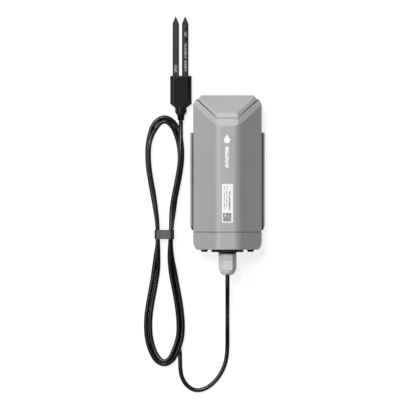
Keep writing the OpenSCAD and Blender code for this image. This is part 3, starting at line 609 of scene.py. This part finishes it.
plug_white = finish_material("plug", (0.68, 0.66, 0.58), (0.75, 0.73, 0.65), 0.4, 0.5, 1500.0,
                             1e-5)
lead_red = finish_material("lead insulation", (0.4, 0.02, 0.015), (0.5, 0.03, 0.02), 0.35, 0.45,
                           1500.0, 1e-5)
ribbon_film = finish_material("ribbon film", (0.5, 0.4, 0.25), (0.6, 0.5, 0.33), 0.3, 0.4, 900.0,
                              5e-6)
for material, names in (
        (board_green, ("main_board", "switch_board", "probe_board")),
        (frame_grey, ("inner_frame",)),
        (steel, ("board_screws", "radio_module", "terminal_screws", "cradle_screws")),
        (chip_black, ("controller_chip", "board_parts", "battery_cradle", "push_switch",
                      "thermistor", "battery_strap")),
        (plated_wire, ("coil_antenna", "battery_contacts")),
        (terminal_green, ("sensor_terminal",)),
        (cell_blue, ("battery_cell",)),
        (plug_white, ("battery_plug",)),
        (lead_red, ("battery_leads", "sensor_cores")),
        (ribbon_film, ("switch_ribbon",))):
    finish_nodes(material, *names)


# ---------------------------------------------------------------------------
# Floor and light: a plain pale floor that looks white but throws little light
# back, under soft suns from above, the upper left, the top end and the foot.
# ---------------------------------------------------------------------------
FLOOR_SIZE = 14.0
FLOOR_PALE, FLOOR_DIM = grey(0.26), grey(0.07)
FLOOR_GLOW, BACKDROP, SOFT_FILL = 0.83, 1.0, 0.01
bpy.ops.object.select_all(action="DESELECT")
bpy.ops.mesh.primitive_plane_add(size=FLOOR_SIZE, location=(0, 0, 0))
floor = bpy.context.object
floor.name = "floor"
floor_white = bpy.data.materials.new("floor")
floor_white.use_nodes = True
tree = floor_white.node_tree
add, link = tree.nodes.new, tree.links.new
tree.nodes.remove(tree.nodes["Principled BSDF"])
rays = add("ShaderNodeLightPath")
shown = math_step(tree, "MAXIMUM", rays.outputs["Is Camera Ray"], rays.outputs["Is Glossy Ray"])
clear = math_step(tree, "MAXIMUM", shown, rays.outputs["Is Transmission Ray"])
pale, dim = add("ShaderNodeBsdfDiffuse"), add("ShaderNodeBsdfDiffuse")
pale.inputs["Color"].default_value = (*FLOOR_PALE, 1)
dim.inputs["Color"].default_value = (*FLOOR_DIM, 1)
lit = add("ShaderNodeEmission")
lit.inputs["Color"].default_value = (1, 1, 1, 1)
lit.inputs["Strength"].default_value = FLOOR_GLOW
both, pick = add("ShaderNodeAddShader"), add("ShaderNodeMixShader")
link(pale.outputs["BSDF"], both.inputs[0])
link(lit.outputs["Emission"], both.inputs[1])
link(clear, pick.inputs["Fac"])
link(dim.outputs["BSDF"], pick.inputs[1])
link(both.outputs["Shader"], pick.inputs[2])
link(pick.outputs["Shader"], tree.nodes["Material Output"].inputs["Surface"])
floor.data.materials.append(floor_white)

world = bpy.data.worlds.new("studio")
scene.world = world
world.use_nodes = True
tree = world.node_tree
add, link = tree.nodes.new, tree.links.new
backdrop, soft_fill = tree.nodes["Background"], add("ShaderNodeBackground")
for shade, strength in ((backdrop, BACKDROP), (soft_fill, SOFT_FILL)):
    shade.inputs["Color"].default_value = (1, 1, 1, 1)
    shade.inputs["Strength"].default_value = strength
rays, pick = add("ShaderNodeLightPath"), add("ShaderNodeMixShader")
link(rays.outputs["Is Camera Ray"], pick.inputs["Fac"])
link(soft_fill.outputs["Background"], pick.inputs[1])
link(backdrop.outputs["Background"], pick.inputs[2])
link(pick.outputs["Shader"], tree.nodes["World Output"].inputs["Surface"])

for name, toward, strength, spread in (
        ("key", (-0.16, 0.3, 0.94), 1.58, 12.0),
        ("left_high", (-0.52, 0.12, 0.85), 0.48, 25.0),
        ("upper_left", (-0.6, 0.5, 0.62), 1.0, 30.0),
        ("top_end", (-0.1, 0.85, 0.52), 1.15, 40.0),
        ("foot_end", (-0.12, -0.97, 0.15), 0.4, 40.0)):
    sun = bpy.data.lights.new(name, "SUN")
    sun.energy = strength
    sun.angle = math.radians(spread)
    lamp = bpy.data.objects.new(name, sun)
    lamp.rotation_mode = "QUATERNION"
    lamp.rotation_quaternion = Vector(toward).to_track_quat("Z", "Y")
    scene.collection.objects.link(lamp)
